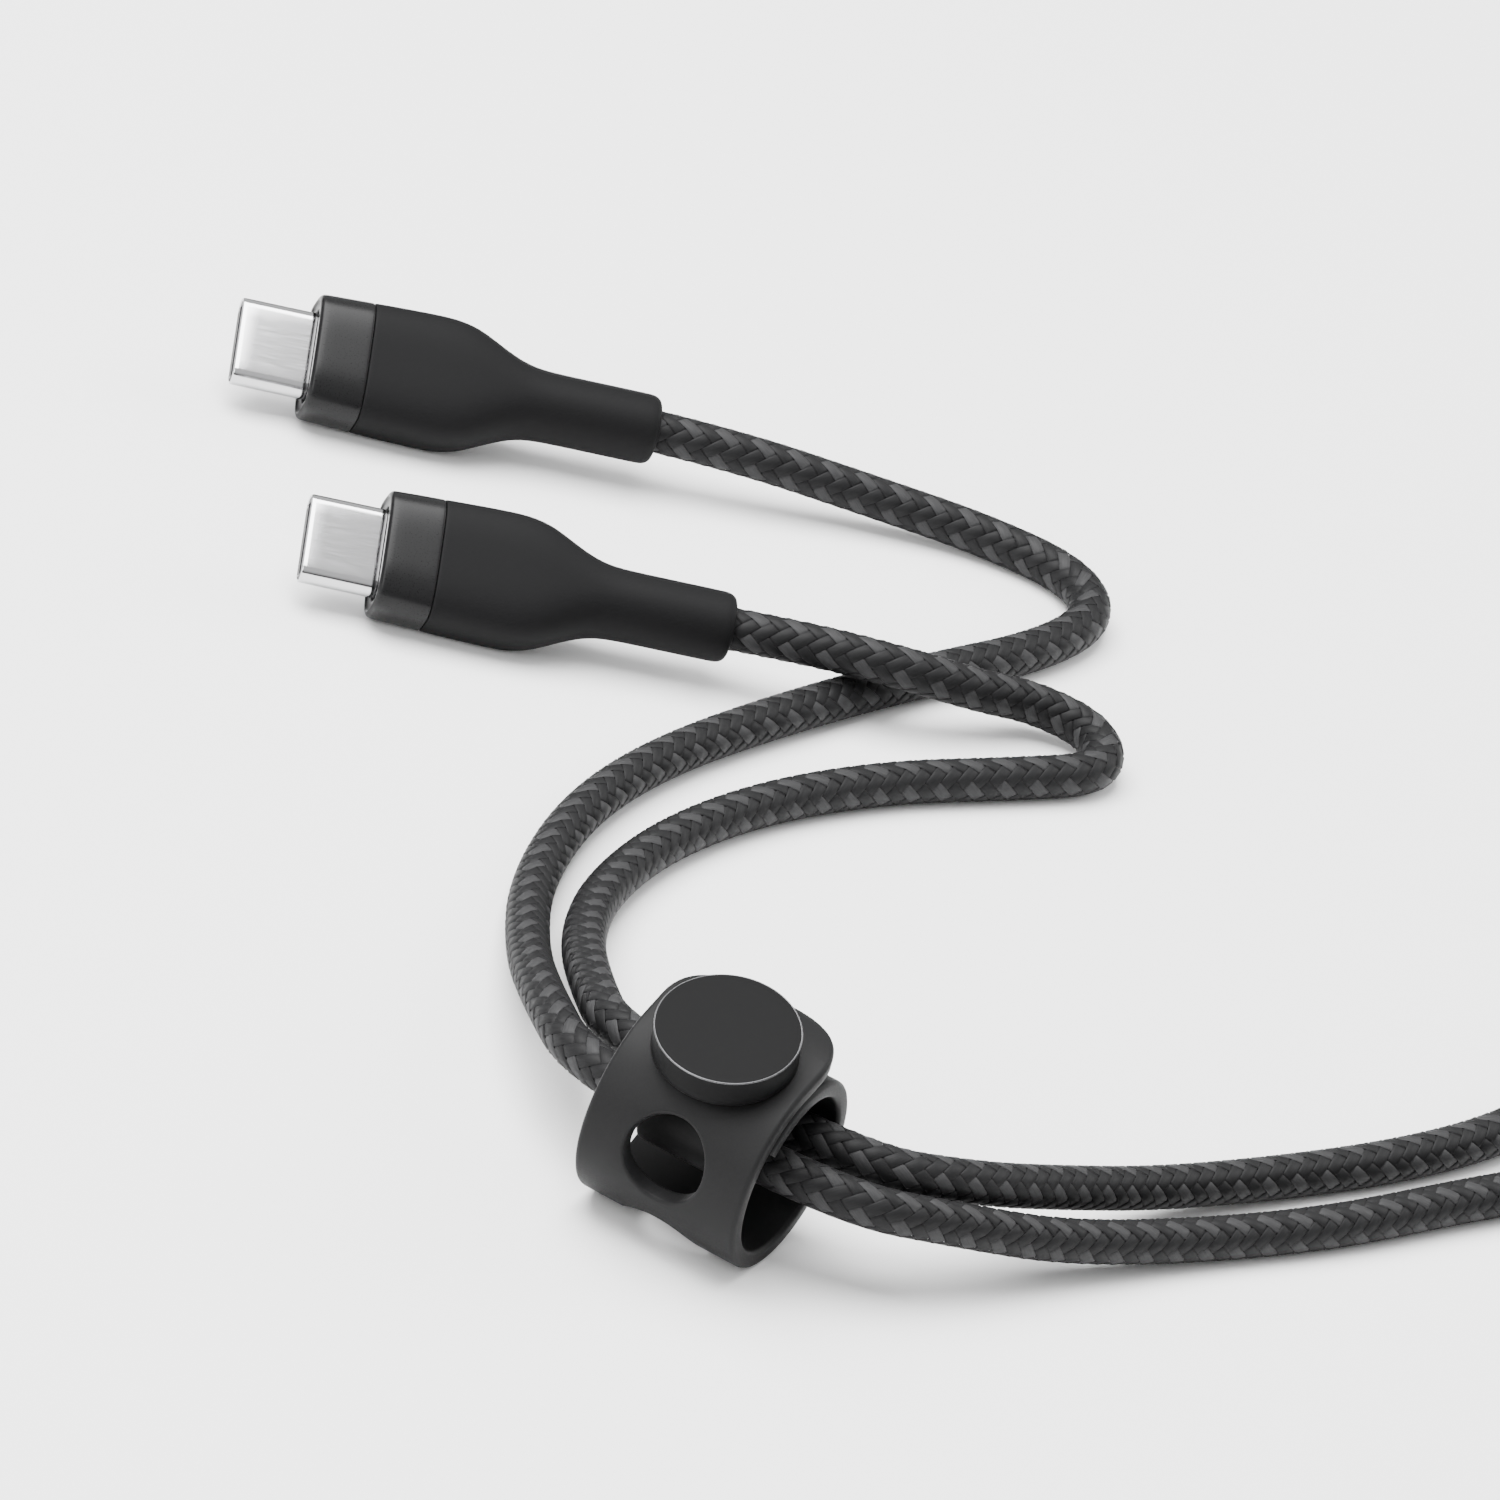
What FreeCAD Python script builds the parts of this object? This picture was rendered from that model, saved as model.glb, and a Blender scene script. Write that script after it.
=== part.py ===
"""Braided USB-C to USB-C charging cable with a snap-button cord strap (millimetres, +Z up).

Two identical plugs lie on the floor on their rounded edges. One round braided cord joins them:
it leaves plug A, folds back, passes through the strap, is stored in a small coil, comes back
through the strap, folds again and enters plug B. The strap loop runs along X.
"""
import math
import os

import FreeCAD
import Part

Vec = FreeCAD.Vector

# ---------------------------------------------------------------- driving dimensions
# Cord
CORD_DIAMETER = 3.9
CORD_RADIUS = CORD_DIAMETER / 2

# Plug, along its own X from the mouth of the shell to the end of the neck
SHELL_WIDTH = 8.25
SHELL_THICKNESS = 2.40
SHELL_WALL = 0.28
SHELL_EXPOSED = 6.65
SHELL_BURIED = 4.0
COLLAR_LENGTH = 5.0
BODY_END = 38.85
NECK_DIAMETER = 6.35
BODY_WIDTH_FRONT = 11.2
BODY_THICKNESS = 7.0
FIT_GAP = 0.05
CONTACT_PITCH = 0.5
CONTACTS_PER_ROW = 12

# Plug poses: mouth position, heading about Z and roll about the plug's own axis
PLUG_AXIS_HEIGHT = 5.47
PLUG_HEADING = 32.6
PLUG_ROLL = 41.0
PLUG_MOUTHS = {"a": (-52.0, 37.7), "b": (-29.9, 11.9)}

# Strap loop, in its own YZ section about the loop's axis
STRAP_CENTRE = Vec(46.0, -51.2, 9.35)
STRAP_WIDTH = 15.8
BAND_THICKNESS = 1.6
LOOP_RADIUS = 8.55
BUTTON_ANGLE = 109.3
HINGE_ANGLE = 150.0
SPIRAL_ANGLE = 330.0
INNER_LOOP_RADIUS = 7.56
INNER_END_ANGLE = 148.0
TAB_REACH = 9.4
TAB_CORNER = 6.5
TAB_FLAT = 3.0
TAB_BEND_RADIUS = 12.0
EYELET_DIAMETER = 7.5
EYELET_ANGLES = (178.0, 248.0)
HINGE_RELIEF = 1.2

# Keeper tube round the front strand
KEEPER_OFFSET = (-1.0, -0.15)
KEEPER_OUTER = 6.0
KEEPER_INNER = 4.3
KEEPER_LENGTH = 10.4

# Button
BUTTON_DIAMETER = 12.5
BUTTON_THICKNESS = 2.8
TRIM_WIDTH = 0.22
STUD_DIAMETER = 3.0
STUD_REACH = 1.85
STUD_CLEARANCE = 0.35

# Coil of stored cord
COIL_CENTRE = Vec(118.5, 50.0, 0)
COIL_INNER_RADIUS = 17.6
COIL_OUTER_RADIUS = 25.6
COIL_HEIGHT = 7.9

# Cord routes, chosen by hand; the first point of each is the end of a plug's neck
ROUTE_A = [
    (-12.7, 62.7, 5.3), (-1.9, 70.9, 3.1), (7.5, 76.1, 2.05), (16.6, 77.0, 2.0),
    (21.6, 71.9, 2.0), (20.8, 61.3, 2.0), (16.1, 48.1, 2.0), (11.2, 30.5, 2.0),
    (7.6, 13.0, 2.0), (7.4, -2.0, 2.0), (10.9, -17.0, 2.1), (17.7, -31.0, 4.1),
    (24.6, -42.0, 7.3), (33.5, -52.2, 9.2), (58.8, -52.2, 9.2), (66.7, -41.4, 6.6),
    (72.1, -31.0, 3.7), (78.5, -17.9, 2.1), (85.7, -4.5, 2.0), (91.3, 10.0, 2.0),
    (96.6, 22.0, 2.0), (106.5, 26.6, 2.0), (112.6, 27.2, 2.0),
]
ROUTE_B = [
    (8.9, 35.8, 6.1), (17.0, 39.7, 6.3), (22.2, 45.7, 4.4), (25.8, 51.4, 2.9),
    (31.6, 52.9, 2.1), (35.4, 47.4, 2.0), (30.0, 38.4, 2.0), (22.9, 27.5, 2.0),
    (17.4, 14.0, 2.0), (14.9, 0.0, 2.0), (15.7, -12.9, 2.1), (20.0, -25.3, 4.2),
    (26.4, -37.0, 7.8), (33.6, -47.0, 10.3), (58.0, -47.0, 10.3), (65.2, -37.2, 8.4),
    (68.6, -27.0, 5.8), (72.5, -15.0, 3.0), (78.1, -2.3, 2.0), (84.0, 10.0, 2.0),
    (87.9, 21.5, 2.0), (89.9, 32.0, 2.6), (91.9, 42.0, 5.0), (94.6, 51.8, 5.95),
]


# ---------------------------------------------------------------- small geometry helpers
def radians_of(degrees):
    return degrees * math.pi / 180


def box(x0, x1, y0, y1, z0, z1):
    return Part.makeBox(x1 - x0, y1 - y0, z1 - z0, Vec(x0, y0, z0))


def cylinder_x(radius, x0, x1, y=0.0, z=0.0):
    return Part.makeCylinder(radius, x1 - x0, Vec(x0, y, z), Vec(1, 0, 0))


def stadium_prism(width, thickness, x0, x1):
    """A prism along X whose section is a stadium: flat faces and fully rounded sides."""
    half = (width - thickness) / 2
    radius = thickness / 2
    top = Part.LineSegment(Vec(x0, -half, radius), Vec(x0, half, radius)).toShape()
    right = Part.Arc(Vec(x0, half, radius), Vec(x0, half + radius, 0), Vec(x0, half, -radius)).toShape()
    bottom = Part.LineSegment(Vec(x0, half, -radius), Vec(x0, -half, -radius)).toShape()
    left = Part.Arc(Vec(x0, -half, -radius), Vec(x0, -half - radius, 0), Vec(x0, -half, radius)).toShape()
    face = Part.Face(Part.Wire([top, right, bottom, left]))
    return face.extrude(Vec(x1 - x0, 0, 0))


def superellipse_wire(x, half_width, half_thickness, power, count=36):
    """A closed smooth outline in the plane at x; power 2 is an ellipse, higher is squarer."""
    points = []
    for step in range(count):
        angle = 2 * math.pi * step / count
        cosine = math.cos(angle)
        sine = math.sin(angle)
        across = math.copysign(abs(cosine) ** (2 / power), cosine)
        along = math.copysign(abs(sine) ** (2 / power), sine)
        points.append(Vec(x, half_width * across, half_thickness * along))
    curve = Part.BSplineCurve()
    curve.interpolate(points, True)
    return Part.Wire([curve.toShape()])


def loft(sections):
    wires = [superellipse_wire(*section) for section in sections]
    return Part.makeLoft(wires, True, False)


# ---------------------------------------------------------------- plug
def make_collar():
    """Satin front ring of the housing, with a window for the shell."""
    start = SHELL_EXPOSED
    sections = [
        (start, 5.35, 3.2, 3.4),
        (start + 0.35, BODY_WIDTH_FRONT / 2, BODY_THICKNESS / 2, 3.5),
        (start + COLLAR_LENGTH / 2, 5.68, BODY_THICKNESS / 2, 3.5),
        (start + COLLAR_LENGTH - FIT_GAP, 5.76, BODY_THICKNESS / 2, 3.5),
    ]
    window = stadium_prism(SHELL_WIDTH + 2 * FIT_GAP, SHELL_THICKNESS + 2 * FIT_GAP, start - 1, start + 6)
    can_room = box(start + 3.0, start + 6.0, -4.7, 4.7, -2.2, 2.2)
    return loft(sections).cut(window).cut(can_room)


def make_body():
    """Rigid grip: widens a little, then an S-curve to a round neck round the cord."""
    front = SHELL_EXPOSED + COLLAR_LENGTH
    sections = [
        (front, 5.78, 3.5, 3.5),
        (front + 3.5, 5.92, 3.5, 3.5),
        (front + 6.9, 6.0, 3.5, 3.4),
        (front + 9.2, 5.72, 3.48, 3.1),
        (front + 11.3, 4.95, 3.42, 2.7),
        (front + 13.3, 3.95, 3.32, 2.3),
        (front + 15.2, 3.32, 3.2, 2.05),
        (front + 16.6, NECK_DIAMETER / 2, NECK_DIAMETER / 2, 2.0),
    ]
    neck = BODY_END - front
    for distance in (19.0, 21.5, 24.0, neck - 0.6):
        sections.append((front + distance, NECK_DIAMETER / 2, NECK_DIAMETER / 2, 2.0))
    sections.append((BODY_END, NECK_DIAMETER / 2 - 0.45, NECK_DIAMETER / 2 - 0.45, 2.0))
    solid = loft(sections)
    room = box(front - 1, front + 5.6, -4.7, 4.7, -2.2, 2.2)
    wire_room = cylinder_x(2.7, front + 5.0, front + 17.0)
    cord_hole = cylinder_x(CORD_RADIUS, front + 10.0, BODY_END + 1)
    return solid.cut(room).cut(wire_room).cut(cord_hole)


def make_shell():
    length = SHELL_EXPOSED + SHELL_BURIED
    outer = stadium_prism(SHELL_WIDTH, SHELL_THICKNESS, 0, length)
    inner = stadium_prism(SHELL_WIDTH - 2 * SHELL_WALL, SHELL_THICKNESS - 2 * SHELL_WALL, -1, length + 1)
    return outer.cut(inner)


def make_contact_housing():
    """Black moulding inside the shell: two contact shelves with a slot between them."""
    width = SHELL_WIDTH - 2 * SHELL_WALL - 2 * FIT_GAP
    thickness = SHELL_THICKNESS - 2 * SHELL_WALL - 2 * FIT_GAP
    block = stadium_prism(width, thickness, 0.06, SHELL_EXPOSED + SHELL_BURIED)
    slot = box(-1, 6.2, -3.35, 3.35, -0.36, 0.36)
    groove_length = 5.9
    for row in (-1, 1):
        for index in range(CONTACTS_PER_ROW):
            y = (index - (CONTACTS_PER_ROW - 1) / 2) * CONTACT_PITCH
            z0, z1 = sorted((row * 0.30, row * 0.60))
            block = block.cut(box(0.8, 0.8 + groove_length, y - 0.15, y + 0.15, z0, z1))
    side_room = box(1.0, 5.0, 3.2, 3.9, -0.36, 0.36)
    other_room = box(1.0, 5.0, -3.9, -3.2, -0.36, 0.36)
    return block.cut(slot).cut(side_room).cut(other_room)


def make_contacts():
    """Two rows of gold springs, each lying in its groove and standing proud in the slot."""
    bars = []
    for row in (-1, 1):
        for index in range(CONTACTS_PER_ROW):
            y = (index - (CONTACTS_PER_ROW - 1) / 2) * CONTACT_PITCH
            z0, z1 = sorted((row * 0.28, row * 0.55))
            bars.append(box(0.9, 6.1, y - 0.11, y + 0.11, z0, z1))
    return Part.makeCompound(bars)


def make_latch_springs():
    """Side springs that grip the socket's tongue."""
    left = box(1.1, 4.9, 3.40, 3.60, -0.30, 0.30)
    right = box(1.1, 4.9, -3.60, -3.40, -0.30, 0.30)
    return Part.makeCompound([left, right])


def make_board():
    rear = SHELL_EXPOSED + SHELL_BURIED
    return box(rear + 0.1, rear + 5.9, -4.1, 4.1, -0.3, 0.3)


def make_chips():
    """Marker chip and two passives soldered on the board."""
    rear = SHELL_EXPOSED + SHELL_BURIED
    chip = box(rear + 1.4, rear + 3.4, -1.0, 1.0, 0.3, 0.85)
    resistor = box(rear + 1.6, rear + 2.6, 1.8, 2.3, 0.3, 0.65)
    capacitor = box(rear + 1.6, rear + 2.6, -2.6, -2.1, 0.3, 0.65)
    return Part.makeCompound([chip, resistor, capacitor])


def make_shield_can():
    """Folded steel can round the board, open at the front and at the rear."""
    rear = SHELL_EXPOSED + SHELL_BURIED
    outer = box(rear + 0.05, rear + 6.3, -4.6, 4.6, -2.1, 2.1)
    inner = box(rear - 1, rear + 7, -4.4, 4.4, -1.9, 1.9)
    return outer.cut(inner)


def make_potting():
    """Clear inner moulding over the solder joints, inside the can."""
    rear = SHELL_EXPOSED + SHELL_BURIED
    block = box(rear + 4.0, rear + 6.1, -4.3, 4.3, -1.8, 1.8)
    return block.cut(box(rear, rear + 6.0, -4.15, 4.15, -0.35, 0.35)).cut(wire_paths(0.42))


def wire_paths(radius):
    """Four conductors side by side, from the board to the crimp."""
    rear = SHELL_EXPOSED + SHELL_BURIED
    wires = [cylinder_x(radius, rear + 4.2, 21.6, y, 0.8) for y in (-1.5, -0.5, 0.5, 1.5)]
    return Part.makeCompound(wires)


def make_crimp():
    """Crimped ferrule that holds the cord's braid inside the neck."""
    tube = cylinder_x(2.6, 21.7, 28.0)
    return tube.cut(cylinder_x(CORD_RADIUS, 20, 29))


def place_plug(shape, mouth):
    """From the plug's own frame to its place on the floor."""
    placed = shape.copy()
    placed.rotate(Vec(0, 0, 0), Vec(1, 0, 0), PLUG_ROLL)
    placed.rotate(Vec(0, 0, 0), Vec(0, 0, 1), PLUG_HEADING)
    placed.translate(Vec(mouth[0], mouth[1], PLUG_AXIS_HEIGHT))
    return placed


def plug_nodes(side):
    pieces = {
        "shell": make_shell(),
        "contact_housing": make_contact_housing(),
        "contacts": make_contacts(),
        "latch_springs": make_latch_springs(),
        "board": make_board(),
        "chips": make_chips(),
        "shield_can": make_shield_can(),
        "potting": make_potting(),
        "conductors": wire_paths(0.4),
        "crimp": make_crimp(),
        "collar": make_collar(),
        "body": make_body(),
    }
    mouth = PLUG_MOUTHS[side]
    return {"plug_%s_%s" % (side, name): place_plug(shape, mouth) for name, shape in pieces.items()}


def neck_end(side):
    mouth = PLUG_MOUTHS[side]
    heading = radians_of(PLUG_HEADING)
    x = mouth[0] + BODY_END * math.cos(heading)
    y = mouth[1] + BODY_END * math.sin(heading)
    return (x, y, PLUG_AXIS_HEIGHT)


# ---------------------------------------------------------------- strap
def section_point(angle, radius, centre=(0.0, 0.0)):
    """A point of the strap's YZ section, angle counted from +Y towards +Z, about the loop's axis."""
    y = STRAP_CENTRE.y + centre[0] + radius * math.cos(radians_of(angle))
    z = STRAP_CENTRE.z + centre[1] + radius * math.sin(radians_of(angle))
    return Vec(0, y, z)


def band_arc(start, end, radius, centre=(0.0, 0.0), width=STRAP_WIDTH):
    """A strip of the band bent round an arc from one angle to another."""
    outer = radius + BAND_THICKNESS / 2
    inner = radius - BAND_THICKNESS / 2
    middle = (start + end) / 2
    edges = [
        Part.Arc(section_point(start, outer, centre), section_point(middle, outer, centre),
                 section_point(end, outer, centre)).toShape(),
        Part.LineSegment(section_point(end, outer, centre), section_point(end, inner, centre)).toShape(),
        Part.Arc(section_point(end, inner, centre), section_point(middle, inner, centre),
                 section_point(start, inner, centre)).toShape(),
        Part.LineSegment(section_point(start, inner, centre), section_point(start, outer, centre)).toShape(),
    ]
    face = Part.Face(Part.Wire(edges))
    solid = face.extrude(Vec(width, 0, 0))
    solid.translate(Vec(STRAP_CENTRE.x - width / 2, 0, 0))
    return solid


def along_button(distance, side=0.0):
    """A point on the button's axis, at a distance from the loop's axis, moved rearwards by side."""
    angle = radians_of(BUTTON_ANGLE)
    y = STRAP_CENTRE.y + distance * math.cos(angle) + side * math.sin(angle)
    z = STRAP_CENTRE.z + distance * math.sin(angle) - side * math.cos(angle)
    return Vec(STRAP_CENTRE.x, y, z)


def button_axis():
    angle = radians_of(BUTTON_ANGLE)
    return Vec(0, math.cos(angle), math.sin(angle))


def eyelet(angle):
    """Round hole through the band at an angle of the loop."""
    direction = Vec(0, math.cos(radians_of(angle)), math.sin(radians_of(angle)))
    start = STRAP_CENTRE + direction * 5.2
    return Part.makeCylinder(EYELET_DIAMETER / 2, 6, start, direction)


def spiral_centre():
    shift = LOOP_RADIUS - INNER_LOOP_RADIUS
    angle = radians_of(SPIRAL_ANGLE)
    return (shift * math.cos(angle), shift * math.sin(angle))


def make_band():
    """Loop of the band: from the hinge line down the front, round the floor side and up under the tab."""
    front = band_arc(HINGE_ANGLE, SPIRAL_ANGLE, LOOP_RADIUS)
    inner = band_arc(SPIRAL_ANGLE, 360 + INNER_END_ANGLE, INNER_LOOP_RADIUS, spiral_centre())
    loop = front.fuse(inner)
    hole = Part.makeCylinder(STUD_DIAMETER / 2 + STUD_CLEARANCE, 4.5, along_button(4.5), button_axis())
    return loop.cut(eyelet(EYELET_ANGLES[0])).cut(eyelet(EYELET_ANGLES[1])).cut(hole)


def keeper_centre():
    return (STRAP_CENTRE.y + KEEPER_OFFSET[0], STRAP_CENTRE.z + KEEPER_OFFSET[1])


def make_keeper():
    """Tube on the inner end of the band, moulded with a short web, that the front strand runs in."""
    y, z = keeper_centre()
    x0 = STRAP_CENTRE.x - KEEPER_LENGTH / 2
    x1 = STRAP_CENTRE.x + KEEPER_LENGTH / 2
    tube = cylinder_x(KEEPER_OUTER / 2, x0, x1, y, z)
    top = section_point(INNER_END_ANGLE - 6, INNER_LOOP_RADIUS - 0.72, spiral_centre())
    low = section_point(INNER_END_ANGLE + 6, KEEPER_OUTER / 2 - 0.4, KEEPER_OFFSET)
    across = Vec(0, top.z - low.z, low.y - top.y)
    across.normalize()
    half = across * 0.7
    corners = [top + half, top - half, low - half, low + half, top + half]
    web = Part.Face(Part.makePolygon(corners)).extrude(Vec(KEEPER_LENGTH, 0, 0))
    web.translate(Vec(x0, 0, 0))
    solid = tube.fuse(web).cut(cylinder_x(KEEPER_INNER / 2, x0 - 1, x1 + 1, y, z))
    return solid.cut(make_band())


def tab_point(distance, side):
    """A point of the tab: flat under the button, then bent gently towards the loop."""
    if side <= TAB_FLAT:
        return along_button(distance, side)
    turned = (side - TAB_FLAT) / TAB_BEND_RADIUS
    radius = TAB_BEND_RADIUS + distance - LOOP_RADIUS
    lift = LOOP_RADIUS - TAB_BEND_RADIUS + radius * math.cos(turned)
    return along_button(lift, TAB_FLAT + radius * math.sin(turned))


def tab_outline():
    """A prism along the button's axis with the tab's outline: straight sides and a rounded tip."""
    half = STRAP_WIDTH / 2
    reach = TAB_FLAT + TAB_BEND_RADIUS * math.sin((TAB_REACH - TAB_FLAT) / TAB_BEND_RADIUS)
    inset = TAB_CORNER * (1 - math.sqrt(0.5))

    def spot(x, side):
        return along_button(0, side) + Vec(x, 0, 0)

    edges = [
        Part.LineSegment(spot(-half, -1), spot(-half, reach - TAB_CORNER)).toShape(),
        Part.Arc(spot(-half, reach - TAB_CORNER), spot(-half + inset, reach - inset),
                 spot(-half + TAB_CORNER, reach)).toShape(),
        Part.LineSegment(spot(-half + TAB_CORNER, reach), spot(half - TAB_CORNER, reach)).toShape(),
        Part.Arc(spot(half - TAB_CORNER, reach), spot(half - inset, reach - inset),
                 spot(half, reach - TAB_CORNER)).toShape(),
        Part.LineSegment(spot(half, reach - TAB_CORNER), spot(half, -1)).toShape(),
        Part.LineSegment(spot(half, -1), spot(-half, -1)).toShape(),
    ]
    return Part.Face(Part.Wire(edges)).extrude(button_axis() * 14)


def make_tab():
    """Outer end of the band: from the hinge line over the top and under the button, rounded at the tip."""
    curved = band_arc(BUTTON_ANGLE, HINGE_ANGLE - HINGE_RELIEF, LOOP_RADIUS)
    inner = LOOP_RADIUS - BAND_THICKNESS / 2
    outer = LOOP_RADIUS + BAND_THICKNESS / 2
    bend = (TAB_FLAT + TAB_REACH) / 2
    edges = [
        Part.LineSegment(tab_point(inner, 0), tab_point(outer, 0)).toShape(),
        Part.LineSegment(tab_point(outer, 0), tab_point(outer, TAB_FLAT)).toShape(),
        Part.Arc(tab_point(outer, TAB_FLAT), tab_point(outer, bend), tab_point(outer, TAB_REACH)).toShape(),
        Part.LineSegment(tab_point(outer, TAB_REACH), tab_point(inner, TAB_REACH)).toShape(),
        Part.Arc(tab_point(inner, TAB_REACH), tab_point(inner, bend), tab_point(inner, TAB_FLAT)).toShape(),
        Part.LineSegment(tab_point(inner, TAB_FLAT), tab_point(inner, 0)).toShape(),
    ]
    end = Part.Face(Part.Wire(edges)).extrude(Vec(STRAP_WIDTH, 0, 0))
    end.translate(Vec(-STRAP_WIDTH / 2, 0, 0))
    end = end.common(tab_outline())
    hole = Part.makeCylinder(STUD_DIAMETER / 2 + FIT_GAP, 6, along_button(6), button_axis())
    return curved.fuse(end).cut(hole)


def disc(radius, start, end):
    return Part.makeCylinder(radius, end - start, along_button(start), button_axis())


def button_nodes():
    """Pressed disc with a bright edge line, riveted through the tab by its stud."""
    base = LOOP_RADIUS + BAND_THICKNESS / 2
    top = base + BUTTON_THICKNESS
    radius = BUTTON_DIAMETER / 2
    under = LOOP_RADIUS - BAND_THICKNESS / 2
    recess = disc(STUD_DIAMETER / 2, base - 1, base + 1.2)
    trim = disc(radius, top - TRIM_WIDTH, top).cut(disc(radius - TRIM_WIDTH, top - 1, top + 1))
    cap = disc(radius, base, top).cut(recess).cut(disc(radius + 1, top - TRIM_WIDTH, top + 1)
                                                  .cut(disc(radius - TRIM_WIDTH, top - 1, top + 1)))
    stud = disc(STUD_DIAMETER / 2, under - STUD_REACH, base + 1.2)
    return {"button_cap": cap, "button_trim": trim, "button_stud": stud}


def strap_nodes():
    nodes = {"strap_band": make_band(), "strap_keeper": make_keeper(), "strap_tab": make_tab()}
    nodes.update(button_nodes())
    return nodes


# ---------------------------------------------------------------- cord
def cord_tube(route, name):
    """Straight runs joined by tangent arcs, swept with the cord's round section."""
    points = [Vec(*point) for point in route]
    edges = []
    radii = []
    start = points[0]
    for index in range(1, len(points) - 1):
        before = points[index - 1] - points[index]
        after = points[index + 1] - points[index]
        turn = math.pi - before.getAngle(after)
        reach = 0.45 * min(before.Length, after.Length)
        radii.append(reach / math.tan(turn / 2))
        before.normalize()
        after.normalize()
        enter = points[index] + before * reach
        leave = points[index] + after * reach
        towards = before + after
        towards.normalize()
        sagitta = radii[-1] * (1 / math.cos(turn / 2) - 1)
        edges.append(Part.LineSegment(start, enter).toShape())
        edges.append(Part.Arc(enter, points[index] + towards * sagitta, leave).toShape())
        start = leave
    edges.append(Part.LineSegment(start, points[-1]).toShape())
    path = Part.Wire(edges)
    circle = Part.Circle(points[0], points[1] - points[0], CORD_RADIUS)
    section = Part.Wire([circle.toShape()])
    tube = path.makePipeShell([section], True, False)
    ratio = tube.Volume / (math.pi * CORD_RADIUS ** 2 * path.Length)
    listing = ", ".join("%.1f" % radius for radius in radii)
    print("%s length %.1f volume ratio %.4f radii %s" % (name, path.Length, ratio, listing))
    return tube


def make_coil():
    """Outer shape of the stored turns: a low ring lying on the floor."""
    outer = Part.makeCylinder(COIL_OUTER_RADIUS, COIL_HEIGHT, COIL_CENTRE)
    inner = Part.makeCylinder(COIL_INNER_RADIUS, COIL_HEIGHT, COIL_CENTRE)
    return outer.cut(inner)


def cord_nodes():
    return {
        "cord_a": cord_tube([neck_end("a")] + ROUTE_A, "cord_a"),
        "cord_b": cord_tube([neck_end("b")] + ROUTE_B, "cord_b"),
        "cord_coil": make_coil(),
    }


def build():
    nodes = {}
    nodes.update(plug_nodes("a"))
    nodes.update(plug_nodes("b"))
    nodes.update(strap_nodes())
    nodes.update(cord_nodes())
    os.makedirs("parts", exist_ok=True)
    extent = FreeCAD.BoundBox()
    for name, shape in nodes.items():
        if not shape.isValid():
            print("invalid", name)
        shape.exportStep("parts/%s.step" % name)
        if not name.startswith("cord_"):
            extent.add(shape.optimalBoundingBox(False))
    print("nodes", len(nodes), "extent without the cord", extent)
    return nodes


build()
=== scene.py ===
"""Braided charging cable with two slim plugs and a silicone strap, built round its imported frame."""
import math

import bmesh
import bpy
import numpy as np
from mathutils import Matrix, Vector


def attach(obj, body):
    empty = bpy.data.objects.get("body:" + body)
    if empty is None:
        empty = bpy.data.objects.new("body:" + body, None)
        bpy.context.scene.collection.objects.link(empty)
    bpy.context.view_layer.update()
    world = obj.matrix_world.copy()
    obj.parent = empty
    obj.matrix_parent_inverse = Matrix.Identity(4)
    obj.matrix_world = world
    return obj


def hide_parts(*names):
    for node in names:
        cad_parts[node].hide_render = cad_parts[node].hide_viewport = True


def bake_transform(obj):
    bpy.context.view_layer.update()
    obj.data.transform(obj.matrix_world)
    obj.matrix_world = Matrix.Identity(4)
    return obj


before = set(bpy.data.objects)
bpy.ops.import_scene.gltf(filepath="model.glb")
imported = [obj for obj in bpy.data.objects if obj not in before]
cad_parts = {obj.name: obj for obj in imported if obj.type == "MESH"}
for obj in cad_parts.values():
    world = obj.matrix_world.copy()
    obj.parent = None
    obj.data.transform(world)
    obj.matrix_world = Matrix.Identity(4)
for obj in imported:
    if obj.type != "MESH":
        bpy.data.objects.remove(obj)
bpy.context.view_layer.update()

# ---------------------------------------------------------------- the studio it stands in
# A wide pale paper sheet under the cable, three soft boxes, and a bright ceiling over dim walls.
# The long lens is far away, so the strands keep nearly the same width from front to back.
MM = 0.001
PAPER_HALF_WIDTH = 6.0
paper_mesh = bpy.data.meshes.new("paper_floor")
paper = bpy.data.objects.new("paper_floor", paper_mesh)
bpy.context.scene.collection.objects.link(paper)
bm = bmesh.new()
bmesh.ops.create_grid(bm, x_segments=1, y_segments=1, size=PAPER_HALF_WIDTH)
bm.to_mesh(paper_mesh)
bm.free()
paper_finish = bpy.data.materials.new("pale_paper")
paper_finish.use_nodes = True
paper_shader = paper_finish.node_tree.nodes["Principled BSDF"]
paper_shader.inputs["Base Color"].default_value = (0.92, 0.92, 0.92, 1)
paper_shader.inputs["Roughness"].default_value = 0.9
paper_shader.inputs["Specular IOR Level"].default_value = 0.1
paper_mesh.materials.append(paper_finish)

aim = Vector((11.0, 25.0, 0.0)) * MM
heading = math.radians(20)
elevation = math.radians(28)
roll = math.radians(18)
distance = 1.7
right = Vector((math.cos(heading), math.sin(heading), 0))
away = Vector((-math.sin(heading), math.cos(heading), 0))
upright = away * math.sin(elevation) + Vector((0, 0, 1)) * math.cos(elevation)
looking = away * math.cos(elevation) - Vector((0, 0, 1)) * math.sin(elevation)
picture_right = right * math.cos(roll) + upright * math.sin(roll)
picture_up = upright * math.cos(roll) - right * math.sin(roll)
lens = bpy.data.cameras.new("long_lens")
lens.sensor_width = 36
lens.lens = 465.1
lens.clip_end = 20
camera = bpy.data.objects.new("camera", lens)
bpy.context.scene.collection.objects.link(camera)
turned = Matrix((picture_right, picture_up, -looking)).transposed().to_4x4()
camera.matrix_world = Matrix.Translation(aim - looking * distance) @ turned
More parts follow.
